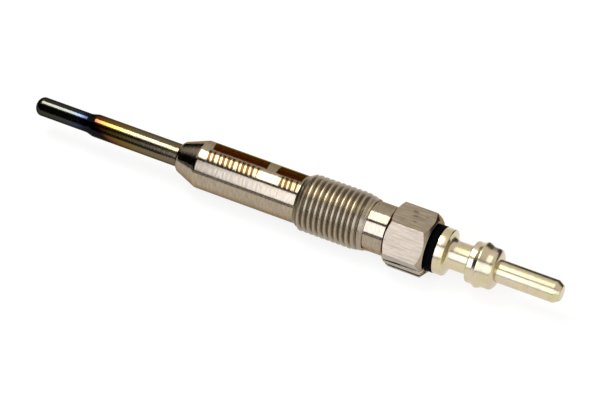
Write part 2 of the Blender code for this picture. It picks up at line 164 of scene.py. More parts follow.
CLOTHS = {
    "front_cloth": {"angle": 31.5, "distance": 0.19, "spread": 34.5, "ends": (-0.40, 0.33)},
    "low_cloth": {"angle": -4.0, "distance": 0.044, "spread": 2.4, "ends": (-0.11, 0.012)},
    "tube_cloth": {"angle": -7.0, "distance": 0.024, "spread": 4.9, "ends": (-0.062, -0.031)},
}

# Screens that stand on the floor: the middle of the foot, the direction that they face and their shade
SCREENS = {
    "left_screen": {"foot": (-0.35, 0.06), "facing": 0.0, "width": 0.72, "height": 0.21, "shade": 0.002},
    "rear_screen": {"foot": (0.104, 0.034), "facing": -90.0, "width": 0.152, "height": 0.03, "shade": 0.04},
}
CLOTH_SHADE = 0.002


def length(name, millimetres, description):
    """A length that a user may change."""
    return FloatProperty(name=name, description=description, default=millimetres * MM, min=0.0,
                         unit="LENGTH", precision=5)


def tint(name, default, description):
    """A colour that a user may change."""
    return FloatVectorProperty(name=name, description=description, default=default, min=0.0, max=1.0,
                               subtype="COLOR", size=3)


class PlugSizes(bpy.types.PropertyGroup):
    """Sizes of the visible forms that the solids' boxes don't give."""

    round_steps: IntProperty(name="Round steps", description="Faces round each turned piece", default=128,
                             min=24, max=256)
    tube_wall: length("Tube wall", 0.4, "Thickness of the glow tube")
    tip_radius: length("Tip radius", 1.67, "Radius of the narrow glow tip")
    tip_length: length("Tip length", 10.0, "Length of the narrow glow tip")
    tip_rounding: length("Tip rounding", 1.3, "Length of the tip's domed end")
    shoulder_length: length("Shoulder", 1.8, "Length of the step from the tip to the tube")
    nose_radius: length("Nose radius", 2.7, "Radius at the front of the sealing cone")
    nose_chamfer: length("Nose chamfer", 0.45, "Chamfer round the shell's front face")
    shank_radius: length("Shank radius", 4.22, "Radius of the plain shank")
    shank_length: length("Shank length", 18.87, "Length of the plain shank")
    thread_radius: length("Thread radius", 4.985, "Radius over the thread's crests")
    thread_pitch: length("Thread pitch", 1.0, "Advance of the thread in one turn")
    run_out_length: length("Run-out", 2.4, "Length over which the thread fades towards the hexagon")
    neck_radius: length("Neck radius", 4.32, "Radius between thread and hexagon")
    neck_length: length("Neck length", 3.58, "Length between thread and hexagon")
    hex_length: length("Hexagon length", 7.62, "Length of the hexagon along the axis")
    hex_front_inset: length("Hexagon front inset", 0.6, "How far its front face stays inside the flats")
    hex_rear_inset: length("Hexagon rear inset", 0.30, "How far its rear face stays inside the flats")
    hex_rounding: length("Hexagon edge", 0.12, "Rounding of the six long edges")
    washer_edge: length("Washer edge", 0.12, "Rounding of the washer's rims")
    collar_length: length("Collar length", 1.6, "Length of the terminal's collar")
    collar_edge: length("Collar edge", 0.25, "Rounding of the collar's rear rim")
    collar_fillet: length("Collar fillet", 1.18, "Length of the hollow fillet behind the collar")
    terminal_neck: length("Terminal neck radius", 2.5, "Radius of the terminal's neck")
    terminal_neck_length: length("Terminal neck length", 2.9, "Length of the terminal's neck")
    front_ring_radius: length("Front ring radius", 3.62, "Radius of the first ring of the bulge")
    crest_radius: length("Crest radius", 3.97, "Radius at the top of the bulge")
    rear_ring_radius: length("Rear ring radius", 3.55, "Radius of the last ring of the bulge")
    plug_pin_radius: length("Connector pin radius", 1.98, "Radius of the round connector pin")


class PlugColours(bpy.types.PropertyGroup):
    """Colours of the finishes."""

    steel: tint("Plated steel", (0.38, 0.31, 0.225), "Turned and plated steel")
    # Colour that the thread takes towards its roots
    thread_root_colour: tint("Thread roots", (0.17, 0.14, 0.08), "Dull film in the thread")
    tin: tint("Tin", (0.64, 0.56, 0.39), "Tin plating of the terminal")
    bare_sheath: tint("Bare tube", (0.142, 0.113, 0.070), "Tube where it stayed cool")
    oxide: tint("Tip oxide", (0.032, 0.031, 0.022), "Dark oxide on the glow tip")
    annealed_mark: tint("Annealed mark", (0.090, 0.046, 0.014), "Steel that a laser has tinted brown")
    annealed_edge: tint("Annealed edge", (0.075, 0.013, 0.005), "Dark red lower part of the brown marks")
    annealed_stroke: tint("Annealed stroke", (0.055, 0.026, 0.007), "Amber tint of the laser's strokes")
    plastic: tint("Washer plastic", (0.0008, 0.0008, 0.001), "Black moulded washer")


def sizes():
    """The plug's sizes in this scene."""
    return bpy.context.scene.glow_plug_sizes


def colours():
    """The plug's colours in this scene."""
    return bpy.context.scene.glow_plug_colours


# Profiles

def rounded(corners):
    """Round the corners of a profile that give, after place and radius, how far off their rounding starts."""
    points = []
    for index, corner in enumerate(corners):
        middle = Vector(corner[:2])
        if len(corner) == 2:
            points.append(tuple(middle))
            continue
        before = Vector(corners[index - 1][:2])
        after = Vector(corners[index + 1][:2])
        first = middle + (before - middle).normalized() * corner[2]
        last = middle + (after - middle).normalized() * corner[2]
        for step in range(EDGE_STEPS + 1):
            share = step / EDGE_STEPS
            points.append(tuple(first.lerp(middle, share).lerp(middle.lerp(last, share), share)))
    return points


def quarter(start, end, hollow=False, steps=CURVE_STEPS):
    """Quarter of an ellipse between two points: full at its start, or hollow like a fillet."""
    points = []
    for step in range(steps + 1):
        angle = pi / 2 * step / steps
        across = sin(angle) if hollow else 1 - cos(angle)
        along = 1 - cos(angle) if hollow else sin(angle)
        points.append((start[0] + (end[0] - start[0]) * along, start[1] + (end[1] - start[1]) * across))
    return points


def eased(start, end):
    """Smooth step between two points that leaves and meets a cylinder at each end."""
    points = []
    for step in range(CURVE_STEPS + 1):
        share = step / CURVE_STEPS
        rise = (1 - cos(pi * share)) / 2
        points.append((start[0] + (end[0] - start[0]) * share, start[1] + (end[1] - start[1]) * rise))
    return points


# Modelling by hand

def draw_profile(name, points):
    """Draw a profile above the axis, from a plane merged to one point and extruded from point to point."""
    bpy.ops.object.select_all(action="DESELECT")
    bpy.ops.mesh.primitive_plane_add(size=MM, location=(0.0, 0.0, AXIS_HEIGHT))
    piece = bpy.context.object
    piece.name = name
    piece.data.name = name
    bpy.ops.object.mode_set(mode="EDIT")
    bpy.ops.mesh.merge(type="CENTER")
    bpy.ops.transform.translate(value=(points[0][0], 0.0, points[0][1]))
    for here, ahead in zip(points, points[1:]):
        step = (ahead[0] - here[0], 0.0, ahead[1] - here[1])
        bpy.ops.mesh.extrude_region_move(TRANSFORM_OT_translate={"value": step})
    return piece


def close_up():
    """Merge doubles, turn the faces outwards and leave edit mode."""
    bpy.ops.mesh.select_all(action="SELECT")
    bpy.ops.mesh.remove_doubles(threshold=WELD)
    bpy.ops.mesh.normals_make_consistent(inside=False)
    bpy.ops.object.mode_set(mode="OBJECT")


def turned(name, points):
    """Make one turned piece: draw the profile of its section and turn that once round the axis."""
    piece = draw_profile(name, points)
    bpy.ops.mesh.select_all(action="SELECT")
    bpy.ops.mesh.spin(steps=sizes().round_steps, angle=2 * pi, center=(0.0, 0.0, AXIS_HEIGHT),
                      axis=(1.0, 0.0, 0.0))
    close_up()
    return piece


def finish_piece(piece, node, slot, *materials):
    """Place a modelled piece in its mesh, shade it, and let it stand for its solid."""
    bpy.ops.object.select_all(action="DESELECT")
    piece.select_set(True)
    bpy.context.view_layer.objects.active = piece
    bpy.ops.object.transform_apply(location=True, rotation=True, scale=True)
    bpy.ops.object.shade_smooth_by_angle(angle=SMOOTH_ANGLE)
    for face in piece.data.polygons:
        face.use_smooth = face.area < LARGEST_SMOOTH_FACE
    even = piece.modifiers.new("even_normals", "WEIGHTED_NORMAL")
    even.keep_sharp = True
    bpy.ops.object.modifier_apply(modifier=even.name)
    for material in materials:
        piece.data.materials.append(material)
    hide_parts(node)
    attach(piece, "root")


def select_ring(piece, along):
    """In edit mode, select only the ring of points at one place along the axis."""
    bpy.ops.mesh.select_mode(type="VERT")
    bpy.ops.mesh.select_all(action="DESELECT")
    bpy.ops.object.mode_set(mode="OBJECT")
    for point in piece.data.vertices:
        point.select = abs(point.co.x - along) < WELD / 10
    bpy.ops.object.mode_set(mode="EDIT")


def extrude_rings(points):
    """Carry the selected ring on through (place, radius) points, starting from the first."""
    for here, ahead in zip(points, points[1:]):
        change = ahead[1] / here[1]
        bpy.ops.mesh.extrude_region_move(TRANSFORM_OT_translate={"value": (ahead[0] - here[0], 0.0, 0.0)})
        bpy.ops.transform.resize(value=(1.0, change, change), center_override=(0.0, 0.0, AXIS_HEIGHT))


def bridge_open_rings():
    """Close a mesh between its two open rings."""
    bpy.ops.mesh.select_mode(type="VERT")
    bpy.ops.mesh.select_all(action="DESELECT")
    bpy.ops.mesh.select_non_manifold(extend=False, use_wire=False, use_boundary=True, use_multi_face=False,
                                     use_non_contiguous=False, use_verts=False)
    bpy.ops.mesh.bridge_edge_loops()


# The glow tube

def tube_line(inset):
    """Profile of the glow tube from the tip's pole to its rear end, moved inwards by a wall."""
    size = sizes()
    tip = size.tip_radius - inset
    body = TUBE_RADIUS - inset
    dome_end = TUBE_LOW.x + size.tip_rounding
    shoulder = TUBE_LOW.x + size.tip_length
    dome = quarter((dome_end, tip), (TUBE_LOW.x + inset, 0.0), steps=2 * CURVE_STEPS)
    step = eased((shoulder, tip), (shoulder + size.shoulder_length, body))
    return dome[::-1] + step + [(TUBE_HIGH.x, body)]


class GLOWPLUG_OT_glow_tube(bpy.types.Operator):
    """Model the thin tube with its narrow glow tip, tinted by heat"""

    bl_idname = "glow_plug.glow_tube"
    bl_label = "Glow Tube"

    def execute(self, context):
        outside = tube_line(0.0)
        inside = tube_line(sizes().tube_wall)
        piece = turned("glow_tube_sheath", outside + inside[::-1])
        finish_piece(piece, "glow_tube", "sheath_alloy", heat_tinted_alloy())
        return {"FINISHED"}


# The shell

def shell_places():
    """Where the shell's forms begin along the axis: shank, thread, neck and hexagon."""
    size = sizes()
    cone = (size.shank_radius - size.nose_radius) / tan(SEAT_CONE_ANGLE)
    shank = SHELL_LOW.x + size.nose_chamfer + cone
    hexagon = SHELL_HIGH.x - size.hex_length
    return {
        "shank": shank,
        "thread": shank + size.shank_length,
        "neck": hexagon - size.neck_length,
        "hexagon": hexagon,
    }


def thread_depth():
    """Depth of the rolled and slightly worn thread."""
    return sizes().thread_pitch * THREAD_DEPTH_SHARE


def thread_root():
    """Width of the flat between two turns."""
    return sizes().thread_pitch * THREAD_ROOT_SHARE


def thread_tooth(start, root_radius):
    """Profile of one pitch, from the middle of a root to the middle of the next."""
    pitch = sizes().thread_pitch
    depth = thread_depth()
    flank = depth * tan(FLANK_ANGLE)
    root = thread_root()
    crest = pitch - root - 2 * flank
    edge = root * ROOT_EDGE_SHARE
    first_flank = start + root / 2
    first_crest = first_flank + flank
    crest_radius = root_radius + depth
    return rounded([
        (start, root_radius),
        (first_flank, root_radius, edge),
        (first_crest, crest_radius, edge),
        (first_crest + crest, crest_radius, edge),
        (first_crest + crest + flank, root_radius, edge),
        (start + pitch, root_radius),
    ])


def add_screw(piece, turns):
    """Wind the drawn tooth into a right-hand helix."""
    bpy.ops.object.mode_set(mode="OBJECT")
    screw = piece.modifiers.new("helix", "SCREW")
    screw.axis = "X"
    screw.screw_offset = sizes().thread_pitch
    screw.iterations = turns
    screw.steps = sizes().round_steps
    screw.render_steps = sizes().round_steps
    screw.use_merge_vertices = True
    screw.merge_threshold = WELD
    bpy.ops.object.modifier_apply(modifier=screw.name)


def wear_down(piece, start, end, root_radius):
    """Lower the thread under its lead chamfer and along its run-out, and draw both its ends in to a ring."""
    depth = thread_depth()
    run_out = sizes().run_out_length
    for point in piece.data.vertices:
        along = min(max(point.co.x, start), end)
        radius = hypot(point.co.y, point.co.z)
        lead = (along - start) * tan(LEAD_CHAMFER_ANGLE)
        fade = depth * ((end - along) / run_out) ** FADE_POWER
        change = (root_radius + min(radius - root_radius, lead, fade)) / radius
        point.co = (along, point.co.y * change, point.co.z * change)
    bpy.ops.object.mode_set(mode="EDIT")
    bpy.ops.mesh.select_all(action="SELECT")
    bpy.ops.mesh.remove_doubles(threshold=WELD)


def shell_front(place, start, root_radius):
    """Profile from the thread's start over shank, cone and nose, then back through the bores."""
    size = sizes()
    bore = TUBE_RADIUS + PRESS_GAP
    bore_step = TUBE_HIGH.x + BORE_STEP_BEYOND_TUBE
    inner_bore = PIN_RADIUS + PIN_AIR_GAP
    return rounded([
        (start, root_radius),
        (place["thread"], size.shank_radius, SHELL_EDGES["thread"]),
        (place["shank"], size.shank_radius, SHELL_EDGES["shank"]),
        (SHELL_LOW.x + size.nose_chamfer, size.nose_radius, SHELL_EDGES["cone"]),
        (SHELL_LOW.x, size.nose_radius - size.nose_chamfer, SHELL_EDGES["nose"]),
        (SHELL_LOW.x, bore),
        (bore_step, bore),
        (bore_step, inner_bore),
        (MOUTH_START, inner_bore),
        (MOUTH_START, MOUTH_RADIUS),
        (SHELL_HIGH.x, MOUTH_RADIUS),
    ])


def shell_rear(place, root_radius):
    """Profile from the thread's end over the neck and the hexagon's chamfered blank."""
    size = sizes()
    front = ACROSS_FLATS / 2 - size.hex_front_inset
    rear = ACROSS_FLATS / 2 - size.hex_rear_inset
    blank = CORNER_RADIUS * HEX_BLANK_SHARE
    front_chamfer = (blank - front) * tan(HEX_FRONT_CHAMFER_ANGLE)
    rear_chamfer = (blank - rear) * tan(HEX_REAR_CHAMFER_ANGLE)
    return rounded([
        (place["neck"], root_radius),
        (place["neck"] + NECK_STEP, size.neck_radius),
        (place["hexagon"], size.neck_radius, SHELL_EDGES["hexagon"]),
        (place["hexagon"], front, SHELL_EDGES["hexagon"]),
        (place["hexagon"] + front_chamfer, blank),
        (SHELL_HIGH.x - rear_chamfer, blank),
        (SHELL_HIGH.x, rear, SHELL_EDGES["rear"]),
        (SHELL_HIGH.x, MOUTH_RADIUS + MOUTH_RIM),
    ])


def make_hex_cutter(place):
    """Make the ring with a six-sided hole that leaves the hexagon's flats and rounded edges."""
    start = place["hexagon"] - sizes().neck_length / 4
    length = SHELL_HIGH.x + SEAT_GAP - start
    edge = sizes().hex_rounding * tan(pi / 6)
    bpy.ops.object.select_all(action="DESELECT")
    bpy.ops.mesh.primitive_circle_add(vertices=6, radius=CORNER_RADIUS, location=(start, 0.0, AXIS_HEIGHT),
                                      rotation=(0.0, pi / 2, 0.0))
    cutter = bpy.context.object
    bpy.ops.object.mode_set(mode="EDIT")
    bpy.ops.mesh.bevel(offset=edge, affect="VERTICES", segments=2 * EDGE_STEPS, clamp_overlap=True)
    bpy.ops.mesh.select_all(action="SELECT")
    bpy.ops.mesh.extrude_region_move(TRANSFORM_OT_translate={"value": (length, 0.0, 0.0)})
    for shift, change in ((0.0, 2.0), (-length, 1.0)):
        bpy.ops.mesh.extrude_region_move(TRANSFORM_OT_translate={"value": (shift, 0.0, 0.0)})
        bpy.ops.transform.resize(value=(1.0, change, change), center_override=(0.0, 0.0, AXIS_HEIGHT))
    bridge_open_rings()
    close_up()
    return cutter


def cut_away(piece, cutter):
    """Take a cutter's volume out of a piece and remove the cutter."""
    bpy.ops.object.select_all(action="DESELECT")
    bpy.context.view_layer.objects.active = piece
    cut = piece.modifiers.new("cut", "BOOLEAN")
    cut.operation = "DIFFERENCE"
    cut.solver = "EXACT"
    cut.object = cutter
    bpy.ops.object.modifier_apply(modifier=cut.name)
    bpy.data.objects.remove(cutter)


def share_out_finishes(piece, place):
    """Give the thread and the hexagon's flats their own finish, after the turned one."""
    piece.data.materials.clear()
    for finish in (turned_steel(), rolled_thread(), drawn_hexagon()):
        piece.data.materials.append(finish)
    for face in piece.data.polygons:
        radius = hypot(face.center.y, face.center.z)
        on_thread = place["thread"] < face.center.x < place["neck"] and radius > sizes().shank_radius
        on_flats = (face.center.x > place["hexagon"] and radius > sizes().neck_radius
                    and abs(face.normal.x) < FLAT_LEAN)
        face.material_index = 1 if on_thread else 2 if on_flats else 0


class GLOWPLUG_OT_shell(bpy.types.Operator):
    """Model the shell: sealing cone, marked shank, helical thread, neck and hexagon"""

    bl_idname = "glow_plug.shell"
    bl_label = "Threaded Shell"

    def execute(self, context):
        size = sizes()
        place = shell_places()
        root_radius = size.thread_radius - thread_depth()
        start = place["thread"] + (root_radius - size.shank_radius) / tan(LEAD_CHAMFER_ANGLE)
        first = start + thread_root() / 2 - 2 * size.thread_pitch
        piece = draw_profile("shell_body", thread_tooth(first, root_radius))
        add_screw(piece, int((place["neck"] - start) / size.thread_pitch) + 3)
        wear_down(piece, start, place["neck"], root_radius)
        select_ring(piece, start)
        extrude_rings(shell_front(place, start, root_radius))
        select_ring(piece, place["neck"])
        extrude_rings(shell_rear(place, root_radius))
        bridge_open_rings()
        close_up()
        cut_away(piece, make_hex_cutter(place))
        share_out_finishes(piece, place)
        finish_piece(piece, "plug_shell", "plated_steel")
        return {"FINISHED"}


# The washer and the terminal

class GLOWPLUG_OT_washer(bpy.types.Operator):
    """Model the black insulating washer with the spigot that centres the pin"""

    bl_idname = "glow_plug.washer"
    bl_label = "Insulating Washer"

    def execute(self, context):
        edge = sizes().washer_edge
        inside = PIN_RADIUS + SEAT_GAP
        spigot = MOUTH_RADIUS - SEAT_GAP
        corners = rounded([
            (WASHER_LOW.x, inside),
            (WASHER_LOW.x, spigot, edge),
            (WASHER_SEAT, spigot),
            (WASHER_SEAT, WASHER_RADIUS, edge),
            (WASHER_HIGH.x, WASHER_RADIUS, edge),
            (WASHER_HIGH.x, inside),
            (WASHER_LOW.x, inside),
        ])
        piece = turned("black_washer", corners)
        finish_piece(piece, "insulating_washer", "black_plastic", moulded_plastic())
        return {"FINISHED"}


class GLOWPLUG_OT_terminal(bpy.types.Operator):
    """Model the push-on terminal: collar, fillet, neck, ringed bulge and round pin"""

    bl_idname = "glow_plug.terminal"
    bl_label = "Terminal"

    def execute(self, context):
        size = sizes()
        start = TERMINAL_LOW.x
        end = TERMINAL_HIGH.x
        bore = PIN_RADIUS + PRESS_GAP
        collar_end = start + size.collar_length
        neck = collar_end + size.collar_fillet
        ring = neck + size.terminal_neck_length
        rise = ring + RING_LENGTH
        crest = rise + CREST_RISE_LENGTH
        crest_end = crest + CREST_LENGTH
        rear = crest_end + CREST_FALL_LENGTH
        dome = rear + RING_LENGTH
        pin = dome + DOME_LENGTH
        rim = (collar_end, COLLAR_RADIUS - size.collar_edge)
        corners = rounded([(TERMINAL_BORE_END, 0.0), (TERMINAL_BORE_END, bore), (start, bore),
                           (start, COLLAR_RADIUS, TERMINAL_EDGES["front"]),
                           (collar_end - size.collar_edge, COLLAR_RADIUS)])
        corners += quarter((collar_end - size.collar_edge, COLLAR_RADIUS), rim, steps=RIM_STEPS)[1:]
        corners += quarter(rim, (neck, size.terminal_neck), hollow=True)[1:]
        corners += [(ring, size.terminal_neck)]
        corners += quarter((ring, size.front_ring_radius - RING_EDGE),
                           (ring + RING_EDGE, size.front_ring_radius), hollow=True, steps=RING_STEPS)
        corners += rounded([
            (ring + 2 * RING_EDGE, size.front_ring_radius),
            (rise, size.front_ring_radius, TERMINAL_EDGES["ring"]),
            (crest, size.crest_radius, TERMINAL_EDGES["crest"]),
            (crest_end, size.crest_radius, TERMINAL_EDGES["crest"]),
            (rear, size.rear_ring_radius, TERMINAL_EDGES["rear_ring"]),
            (dome - RING_EDGE, size.rear_ring_radius),
        ])
        corners += quarter((dome, size.rear_ring_radius), (pin, size.plug_pin_radius))
        corners += rounded([
            (pin + RING_EDGE, size.plug_pin_radius),
            (end - PLUG_PIN_CHAMFER, size.plug_pin_radius, TERMINAL_EDGES["pin"]),
            (end, PLUG_PIN_END_RADIUS, TERMINAL_EDGES["pin_end"]),
            (end, 0.0),
        ])
        piece = turned("push_on_terminal", corners)
        finish_piece(piece, "terminal", "tinned_steel", tinned_terminal())
        return {"FINISHED"}


# Materials

class Wire:
    """One output socket, on which a sum or product written in Python adds Math nodes."""

    def __init__(self, bench, socket):
        self.bench = bench
        self.socket = socket

    def __add__(self, other):
        return self.bench.maths("ADD", self, other)

    def __sub__(self, other):
        return self.bench.maths("SUBTRACT", self, other)

    def __rsub__(self, other):
        return self.bench.maths("SUBTRACT", other, self)

    def __mul__(self, other):
        return self.bench.maths("MULTIPLY", self, other)

    def __truediv__(self, other):
        return self.bench.maths("DIVIDE", self, other)

    def __pow__(self, other):
        return self.bench.maths("POWER", self, other)

    __radd__ = __add__
    __rmul__ = __mul__


class Bench:
    """Adds nodes to one node tree."""

    def __init__(self, tree):
        self.tree = tree

    def node(self, kind, settings=None, values=None, output=0):
        """Add a node: first its settings, then the values or links of its sockets."""
        made = self.tree.nodes.new(kind)
        for name, setting in (settings or {}).items():
            if name == "stops":
                self.set_stops(made.color_ramp, setting)
            else:
                setattr(made, name, setting)
        for name, value in (values or {}).items():
            self.feed(made.inputs[name], value)
        return Wire(self, made.outputs[output])

    def feed(self, socket, value):
        """Link a wire to a socket, or set the socket's own value."""
        if isinstance(value, Wire):
            self.tree.links.new(value.socket, socket)
        elif socket.type == "RGBA":
            socket.default_value = (*value, 1.0)
        else:
            socket.default_value = value

    @staticmethod
    def set_stops(ramp, stops):
        """Give a colour ramp its (position, colour) stops."""
        while len(ramp.elements) < len(stops):
            ramp.elements.new(1.0)
        for element, (position, colour) in zip(ramp.elements, stops):
            element.position = position
            element.color = (*colour, 1.0)

    def maths(self, operation, *values):
        """Add one Math node."""
        return self.node("ShaderNodeMath", {"operation": operation}, dict(enumerate(values)))

    def blend(self, share, first, second):
        """Mix two colours: the first where the share is 0, the second where it is 1."""
        return self.node("ShaderNodeMix", {"data_type": "RGBA"}, {0: share, 6: first, 7: second}, 2)

    def ease(self, value, low, high):
        """Rise smoothly from 0 at one value to 1 at another."""
        return self.node("ShaderNodeMapRange", {"interpolation_type": "SMOOTHSTEP"},
                         {"Value": value, "From Min": low, "From Max": high})

    def between(self, value, low, high, soft):
        """1 between two values and 0 outside, with soft limits."""
        return self.ease(value, low - soft, low + soft) * (1 - self.ease(value, high - soft, high + soft))


class Finish(Bench):
    """A material that is being made: its shader and the place on the plug that its patterns read."""

    def __init__(self, name, roughness, metallic=0.0):
        self.material = bpy.data.materials.new(name)
        self.material.use_nodes = True
        super().__init__(self.material.node_tree)
        self.shader = self.tree.nodes["Principled BSDF"]
        self.shader.inputs["Roughness"].default_value = roughness
        self.shader.inputs["Metallic"].default_value = metallic
        coordinates = self.node("ShaderNodeTexCoord", output="Object")
        self.point = self.node("ShaderNodeMapping", None, {
            "Vector": coordinates,
            "Location": (0.0, 0.0, -AXIS_HEIGHT * PER_METRE),
            "Scale": (PER_METRE, PER_METRE, PER_METRE),
        })
        split = self.node("ShaderNodeSeparateXYZ", None, {0: self.point})
        self.along = split
        self.across = Wire(self, split.socket.node.outputs[1])
        self.up = Wire(self, split.socket.node.outputs[2])

    def radius(self):
        """Distance from the plug's axis in millimetres."""
        return (self.across * self.across + self.up * self.up) ** 0.5

    def turn(self):
        """Angle round the axis in degrees, from the horizontal on the camera's side upwards."""
        return self.maths("DEGREES", self.maths("ARCTAN2", self.up, 0 - self.across))

    def noise(self, scale, stretch=(1.0, 1.0, 1.0), detail=2.0, roughness=0.5):
        """Noise on the plug's place, stretched along its axes."""
        place = self.node("ShaderNodeMapping", None, {"Vector": self.point, "Scale": stretch})
        return self.node("ShaderNodeTexNoise", None, {
            "Vector": place, "Scale": scale, "Detail": detail, "Roughness": roughness})

    def bump(self, height, distance):
        """Give the surface a pattern's relief, as deep as a distance in millimetres."""
        normal = self.node("ShaderNodeBump", None,
                           {"Height": height, "Distance": distance * MM, "Strength": 1.0})
        self.feed(self.shader.inputs["Normal"], normal)

    def colour(self, value):
        """Feed the shader's colour."""
        self.feed(self.shader.inputs["Base Color"], value)

    def roughness(self, value):
        """Feed the shader's roughness."""
        self.feed(self.shader.inputs["Roughness"], value)


# Scale of noise that is drawn out round the axis, as turning marks are
TURNED = (1.0, 0.12, 0.12)

# Heat tints along the tube, from the end of the tip's oxide to where the tube stayed bare, in millimetres
OXIDE_END = -47.0
HEAT_TINTS = (
    (-42.2, (0.032, 0.034, 0.032)),
    (-40.5, (0.022, 0.032, 0.052)),
    (-39.4, (0.006, 0.008, 0.020)),
    (-37.4, (0.003, 0.003, 0.006)),
    (-35.2, (0.006, 0.002, 0.002)),
    (-34.5, (0.075, 0.020, 0.004)),
    (-33.6, (0.108, 0.042, 0.007)),
    (-32.6, (0.125, 0.064, 0.012)),
    (-31.2, (0.135, 0.082, 0.020)),
    (-29.6, (0.140, 0.098, 0.033)),
    (-27.2, (0.141, 0.109, 0.055)),
)
BARE_TUBE_START = -24.6

# Where the laser's marks lie, in millimetres along the plug and degrees round it; a row of haze also has
# the softness of its ends
BAR_ALONG = (-14.2, -3.95)
BAR_ROUND = (86.0, 131.0)
PATCH_ALONG = (-3.3, 1.55)
PATCH_ROUND = (84.0, 120.0)
STROKE_ROWS = ((-15.6, -6.1), (-1.9, 1.3))
STROKES_ROUND = (53.0, 82.0)
STROKE_SPACING = 0.45
STROKE_GROUP = 1.8
MARK_SLANT = 0.012
HAZE_ROWS = ((-15.4, -5.8, 0.5), (-2.2, 1.6, 0.4))

# Stains on the hexagon's top flat: place along the plug, place across it and radius, in millimetres
STAINS = ((21.8, 1.4, 0.45), (22.2, 0.3, 0.38), (22.6, -1.0, 0.26))


def heat_tinted_alloy():
    """Polished tube, oxidised at the tip, then blue, red-brown, gold and straw towards the shell."""
    finish = Finish("heat_tinted_alloy", 0.14, 1.0)
    finish.shader.inputs["Specular Tint"].default_value = (0.3, 0.28, 0.22, 1.0)
    finish.shader.inputs["Coat Weight"].default_value = 0.12
    finish.shader.inputs["Coat Roughness"].default_value = 0.06
    paint = colours()
    cloud = finish.noise(0.5, (0.4, 1.0, 1.0))
    # The tints shift along the axis with height: partly a slant of the real tints, partly painted shade that
    # gives the lower side darker tints.
    slant_and_lower_shade = finish.up * 1.4 * finish.ease(finish.along, -39.5, -37.5)
    place = finish.along + slant_and_lower_shade + (cloud - 0.5) * 1.2
    start = TUBE_LOW.x * PER_METRE
    end = SHELL_LOW.x * PER_METRE
    stops = [
        ((along - start) / (end - start), tuple(colour))
        for along, colour in ((OXIDE_END, paint.oxide), *HEAT_TINTS, (BARE_TUBE_START, paint.bare_sheath))
    ]
    ramp = finish.node("ShaderNodeValToRGB", {"stops": stops}, {0: (place - start) / (end - start)})
    marks = finish.noise(6.0, TURNED, detail=3.0)
    scuffs = finish.noise(1.8, (0.6, 1.0, 1.0), detail=3.0) * finish.ease(finish.along, -33.0, -29.0)
    finish.colour(ramp)
    finish.roughness(0.11 + marks * 0.08)
    finish.bump(marks + scuffs * 3.0, 0.004)
    return finish.material


def mark_mask(finish, wobble):
    """Where the laser has filled two bars on the shank."""
    along = finish.along + (wobble - 0.5) * 0.10
    turn = finish.turn() + (wobble - 0.5) * 4.0
    slanted = along + turn * MARK_SLANT
    bar = finish.between(slanted, *BAR_ALONG, 0.06) * finish.between(turn, *BAR_ROUND, 1.2)
    patch = finish.between(along, *PATCH_ALONG, 0.12) * finish.between(turn, *PATCH_ROUND, 1.5)
    return finish.maths("MINIMUM", bar + patch, 1.0)


def stroke_mask(finish, wobble):
    """Where the laser has drawn two rows of slanted strokes below the bars."""
    turn = finish.turn()
    slanted = finish.along + turn * MARK_SLANT + (wobble - 0.5) * 0.10
    teeth = finish.maths("PINGPONG", slanted, STROKE_SPACING)
    strokes = 1 - finish.ease(teeth, 0.22, 0.32)
    group = 1 - finish.ease(finish.maths("PINGPONG", slanted + 0.4, STROKE_GROUP), 1.45, 1.55)
    first, second = (finish.between(finish.along, *row, 0.05) for row in STROKE_ROWS)
    return strokes * group * (first + second) * finish.between(turn, *STROKES_ROUND, 1.5)


def mark_haze(finish):
    """Straw tint of the steel round the marks, strongest along the strokes."""
    turn = finish.turn()
    first, second = (finish.between(finish.along, *row) for row in HAZE_ROWS)
    near = finish.between(finish.along, -15.4, 1.6, 0.9) * finish.between(turn, 82.0, 124.0, 4.0)
    return (first + second) * finish.between(turn, 55.0, 84.0, 4.0) * 0.8 + near * 0.35


def painted_corner_shade(finish):
    """Painted shade in the corner between the neck and the hexagon, on its upper side."""
    neck = sizes().neck_radius * PER_METRE
    hexagon = shell_places()["hexagon"] * PER_METRE
    corner = finish.between(finish.along, hexagon - 0.1, hexagon + 0.8, 0.1)
    outside = finish.ease(finish.radius(), neck + 0.02, neck + 0.08)
    return corner * outside * finish.ease(finish.up, -2.5, 0.5) * 0.85


def turned_steel():
    """Plated steel with fine turning marks, brown laser tints on the shank and painted shade in the corner
    before the hexagon.
    """
    finish = Finish("turned_steel", 0.15, 1.0)
    finish.shader.inputs["Specular Tint"].default_value = (0.5, 0.42, 0.32, 1.0)
    paint = colours()
    steel = tuple(paint.steel)
    cloud = finish.noise(0.35, detail=3.0)
    marks = finish.noise(7.0, TURNED, detail=4.0, roughness=0.65)
    turning = finish.noise(3.4, (1.0, 0.2, 0.2), detail=3.0, roughness=0.6)
    wobble = finish.noise(2.2, detail=2.0)
    mottle = finish.noise(2.4, (0.8, 1.6, 1.6), detail=4.0, roughness=0.65)
    filled = mark_mask(finish, wobble)
    strokes = stroke_mask(finish, wobble)
    shade = cloud * 0.4 + finish.ease(turning, 0.3, 0.7) * 0.6
    plated = finish.blend(shade, tuple(c * 0.76 for c in steel), tuple(c * 1.16 for c in steel))
    # Painted shade: the corner between the neck and the hexagon is darkened on its upper side.
    corner_shaded = finish.blend(painted_corner_shade(finish), plated, (0.020, 0.017, 0.012))
    hazed = finish.blend(mark_haze(finish), corner_shaded, (0.23, 0.175, 0.09))
    amber = finish.blend(strokes * 0.97, hazed, tuple(paint.annealed_stroke))
    tinted = finish.blend(finish.ease(finish.turn(), 94.0, 104.0), tuple(paint.annealed_edge),
                          tuple(paint.annealed_mark))
    brown = finish.blend(finish.ease(mottle, 0.40, 0.60) * 0.65, tinted, (0.012, 0.005, 0.003))
    finish.colour(finish.blend(filled, amber, brown))
    finish.roughness(0.10 + marks * 0.08 + filled * 0.05)
    finish.bump(marks + turning, 0.006)
    return finish.material


